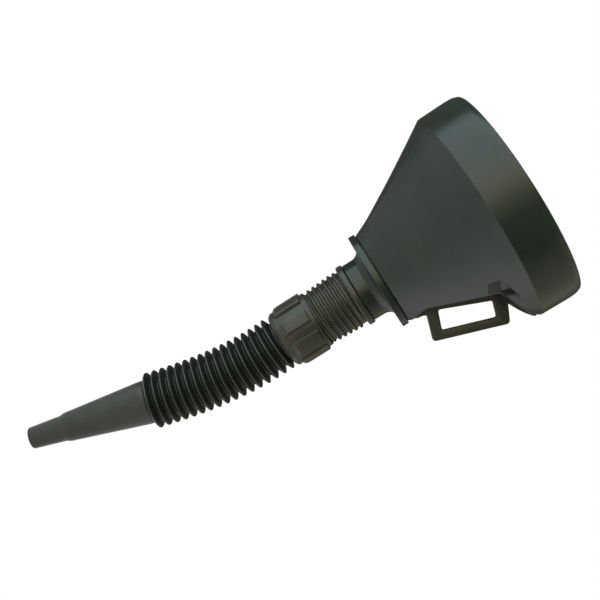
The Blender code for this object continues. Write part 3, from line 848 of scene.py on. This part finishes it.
def build_nozzle(material):
    """Tapered nozzle on the axis of the lowest convolution."""
    head = RING_PITCH / 2.0 - 0.2
    points = [(NOZZLE_SHOULDER_R - 1.2, -head), (NOZZLE_SHOULDER_R, -head - 0.3),
              (NOZZLE_SHOULDER_R, -NOZZLE_SHOULDER_FOOT),
              (NOZZLE_STEP_R, -NOZZLE_STEP + 1.2), (NOZZLE_STEP_R - 1.0, -NOZZLE_STEP - 1.4),
              (NOZZLE_TIP_R, -NOZZLE_TIP), (NOZZLE_TIP_R - 1.3, -NOZZLE_TIP),
              (NOZZLE_STEP_R - NOZZLE_WALL - 0.5, -NOZZLE_STEP),
              (NOZZLE_SHOULDER_R - NOZZLE_WALL, -NOZZLE_SHOULDER_FOOT - 1.0)]
    outline = fillet(points, [0.2, 0.3, 2.0, 1.5, 0.35, 0.5, 0.3, 1.0, 1.0], 6)
    outline = split_closed(outline, 3.0)
    nozzle = turned("tapered_nozzle", outline, even_turns(320), material, seamed_radius, RING_FRAMES[-1])
    join_frame(nozzle, "nozzle", "nozzle")


# ---------------------------------------------------------------- stage, light and camera

WHITE = (1.0, 1.0, 1.0, 1.0)
FLOOR_RADIUS = 1.0


def floor_glow(tree, place):
    """Light that the object gets from the floor: more from the loop's side, less from behind."""
    axes = tree.nodes.new("ShaderNodeSeparateXYZ")
    tree.links.new(place, axes.inputs["Vector"])
    across = spread(tree, axes.outputs["X"], 0.62, 1.10, 0.05, 0.35)
    behind = spread(tree, axes.outputs["Y"], 1.0, 0.4, 0.0, 0.4)
    return calculate(tree, "MULTIPLY", across, behind)


def build_stage(floor_z):
    """Plain pale floor: pure white to the lens, and dimmer for the object."""
    bm = bmesh.new()
    bmesh.ops.create_circle(bm, cap_ends=True, radius=FLOOR_RADIUS, segments=128)
    bm.transform(Matrix.Translation((0.0, 0.0, floor_z - STAND * MM)))
    material, tree, shader, place = new_material("pale_floor")
    shader.inputs["Base Color"].default_value = (0.0, 0.0, 0.0, 1.0)
    shader.inputs["Specular IOR Level"].default_value = 0.0
    shader.inputs["Emission Color"].default_value = WHITE
    seen = tree.nodes.new("ShaderNodeLightPath").outputs["Is Camera Ray"]
    strength = mix(tree, "FLOAT", seen, floor_glow(tree, place), 1.0)
    tree.links.new(strength, shader.inputs["Emission Strength"])
    floor = finish_mesh("floor", bm, material)


# The camera looks almost square on to the funnel's axis, from a little above the mouth's side,
# and is rolled so that the axis runs up to the right.
AXIS_LEAN = math.radians(32.29)
TILT = math.radians(4.96)
CAMERA_PLACE = Vector((-16.1, -636.0, 8.46 + STAND)) * MM
LENS_MM = 60.0
SENSOR_MM = 36.0

LEVEL = Vector((0.0, math.sin(TILT), math.cos(TILT)))
CAMERA_RIGHT = math.sin(AXIS_LEAN) * Vector((1.0, 0.0, 0.0)) + math.cos(AXIS_LEAN) * LEVEL
CAMERA_BACK = Vector((0.0, -math.cos(TILT), math.sin(TILT)))
CAMERA_UP = CAMERA_BACK.cross(CAMERA_RIGHT)


def build_camera():
    data = bpy.data.cameras.new("photo_camera")
    data.lens = LENS_MM
    data.sensor_width = SENSOR_MM
    data.clip_start = 0.01
    data.clip_end = 50.0
    camera = bpy.data.objects.new("photo_camera", data)
    turn = Matrix((CAMERA_RIGHT, CAMERA_UP, CAMERA_BACK)).transposed().to_4x4()
    turn.translation = CAMERA_PLACE
    camera.matrix_world = turn
    bpy.context.scene.collection.objects.link(camera)
    bpy.context.scene.camera = camera


# Room light around the funnel's axis: (direction in degrees from +X towards +Y, colour)
ROOM_RING = (
    (0.0, (0.22, 0.21, 0.17)), (40.0, (0.25, 0.24, 0.19)), (60.0, (0.05, 0.05, 0.04)),
    (160.0, (0.03, 0.03, 0.03)), (172.0, (0.66, 0.84, 0.92)), (215.0, (0.76, 0.90, 0.96)),
    (240.0, (0.94, 0.93, 0.82)), (256.0, (0.82, 0.74, 0.52)), (272.0, (0.24, 0.22, 0.14)),
    (288.0, (0.01, 0.01, 0.01)), (325.0, (0.03, 0.03, 0.02)), (359.0, (0.22, 0.21, 0.17)))
ROOM_STRENGTH = 1.9
# Below the horizon the room has one even colour; the change runs between two heights of direction.
ROOM_LOW = (0.58, 0.64, 0.56)
ROOM_HORIZON = (-0.40, -0.28)


def room_ring_colour(tree, direction):
    """Colour of the room at the funnel's height, by direction around the axis."""
    turn = calculate(tree, "ARCTAN2", direction.outputs["Y"], direction.outputs["X"])
    share = calculate(tree, "FRACT", calculate(tree, "DIVIDE", turn, 2.0 * math.pi))
    ramp = tree.nodes.new("ShaderNodeValToRGB")
    for index, (degrees, colour) in enumerate(ROOM_RING):
        stops = ramp.color_ramp.elements
        stop = stops[index] if index < 2 else stops.new(degrees / 360.0)
        stop.position = degrees / 360.0
        stop.color = (*colour, 1.0)
    tree.links.new(share, ramp.inputs["Fac"])
    bright = tree.nodes.new("ShaderNodeVectorMath")
    bright.operation = "SCALE"
    bright.inputs["Scale"].default_value = ROOM_STRENGTH
    tree.links.new(ramp.outputs["Color"], bright.inputs[0])
    return bright.outputs["Vector"]


def build_world():
    """Room light: white to the lens; for the object a ring of dark and bright sides, even below."""
    world = bpy.data.worlds.new("studio")
    world.use_nodes = True
    tree = world.node_tree
    place = tree.nodes.new("ShaderNodeTexCoord")
    direction = tree.nodes.new("ShaderNodeSeparateXYZ")
    tree.links.new(place.outputs["Generated"], direction.inputs["Vector"])
    height = spread(tree, direction.outputs["Z"], 0.0, 1.0, *ROOM_HORIZON, "SMOOTHSTEP")
    colour = mix(tree, "RGBA", height, (*ROOM_LOW, 1.0), room_ring_colour(tree, direction))
    seen = tree.nodes.new("ShaderNodeLightPath").outputs["Is Camera Ray"]
    tree.links.new(mix(tree, "RGBA", seen, colour, WHITE), tree.nodes["Background"].inputs["Color"])
    bpy.context.scene.world = world


def build_softbox(centre):
    """One large lamp, up to the left of the camera's line of sight."""
    data = bpy.data.lights.new("softbox", "AREA")
    data.size = 0.5
    data.energy = 0.8
    data.color = (0.95, 0.98, 1.0)
    lamp = bpy.data.objects.new("softbox", data)
    place = centre - 0.9 * CAMERA_RIGHT + 0.7 * CAMERA_UP + 0.6 * CAMERA_BACK
    lamp.location = place
    lamp.rotation_euler = (centre - place).to_track_quat("-Z", "Y").to_euler()
    bpy.context.scene.collection.objects.link(lamp)


def main():
    bowl_plastic = moulded_plastic(
        "satin_bowl", (0.015, 0.025, 0.019), (0.029, 0.038, 0.029), 0.23, 0.008)
    loop_plastic = moulded_plastic(
        "satin_loop", (0.038, 0.040, 0.027), (0.052, 0.054, 0.037), 0.26, 0.008, 2.0)
    # The thread's crests and the nut's pad edges get a stronger painted highlight besides their wear.
    adapter_plastic = moulded_plastic(
        "satin_adapter", (0.032, 0.032, 0.021), (0.050, 0.049, 0.033), 0.24, scale=3.0, edge_wear_and_highlight_gain=2.8)
    nut_plastic = moulded_plastic(
        "satin_nut", (0.034, 0.035, 0.024), (0.052, 0.053, 0.037), 0.26, scale=3.0, edge_wear_and_highlight_gain=2.8)
    # The hose's very pale convex edges paint bright highlight lines along the crests of the bellows.
    hose_plastic = moulded_plastic(
        "gloss_hose", (0.012, 0.016, 0.012), (0.018, 0.023, 0.018), 0.30, 0.004, 2.0, 9.0)
    nozzle_plastic = moulded_plastic(
        "satin_nozzle", (0.034, 0.039, 0.031), (0.046, 0.051, 0.041), 0.28, scale=2.0)
    strainer_plastic = moulded_plastic(
        "strainer_black", (0.014, 0.015, 0.014), (0.022, 0.024, 0.022), 0.45, scale=3.0)

    build_bowl(bowl_plastic)
    build_loop(loop_plastic)
    build_strainer_rim(strainer_plastic)
    build_gauze(woven_brass("woven_gauze"))
    build_adapter(adapter_plastic)
    build_nut(nut_plastic)
    washer = frame["nodes"]["sealing_washer"]
    washer.data.materials.clear()
    washer.data.materials.append(soft_rubber("washer_rubber"))
    build_bellows(hose_plastic)
    build_cuff(hose_plastic)
    build_nozzle(nozzle_plastic)

    build_stage(cad_low.z)
    build_world()
    build_softbox(Vector((-0.02, 0.0, -0.06 + STAND * MM)))
    build_camera()
    bpy.context.scene.view_settings.view_transform = "Standard"


main()
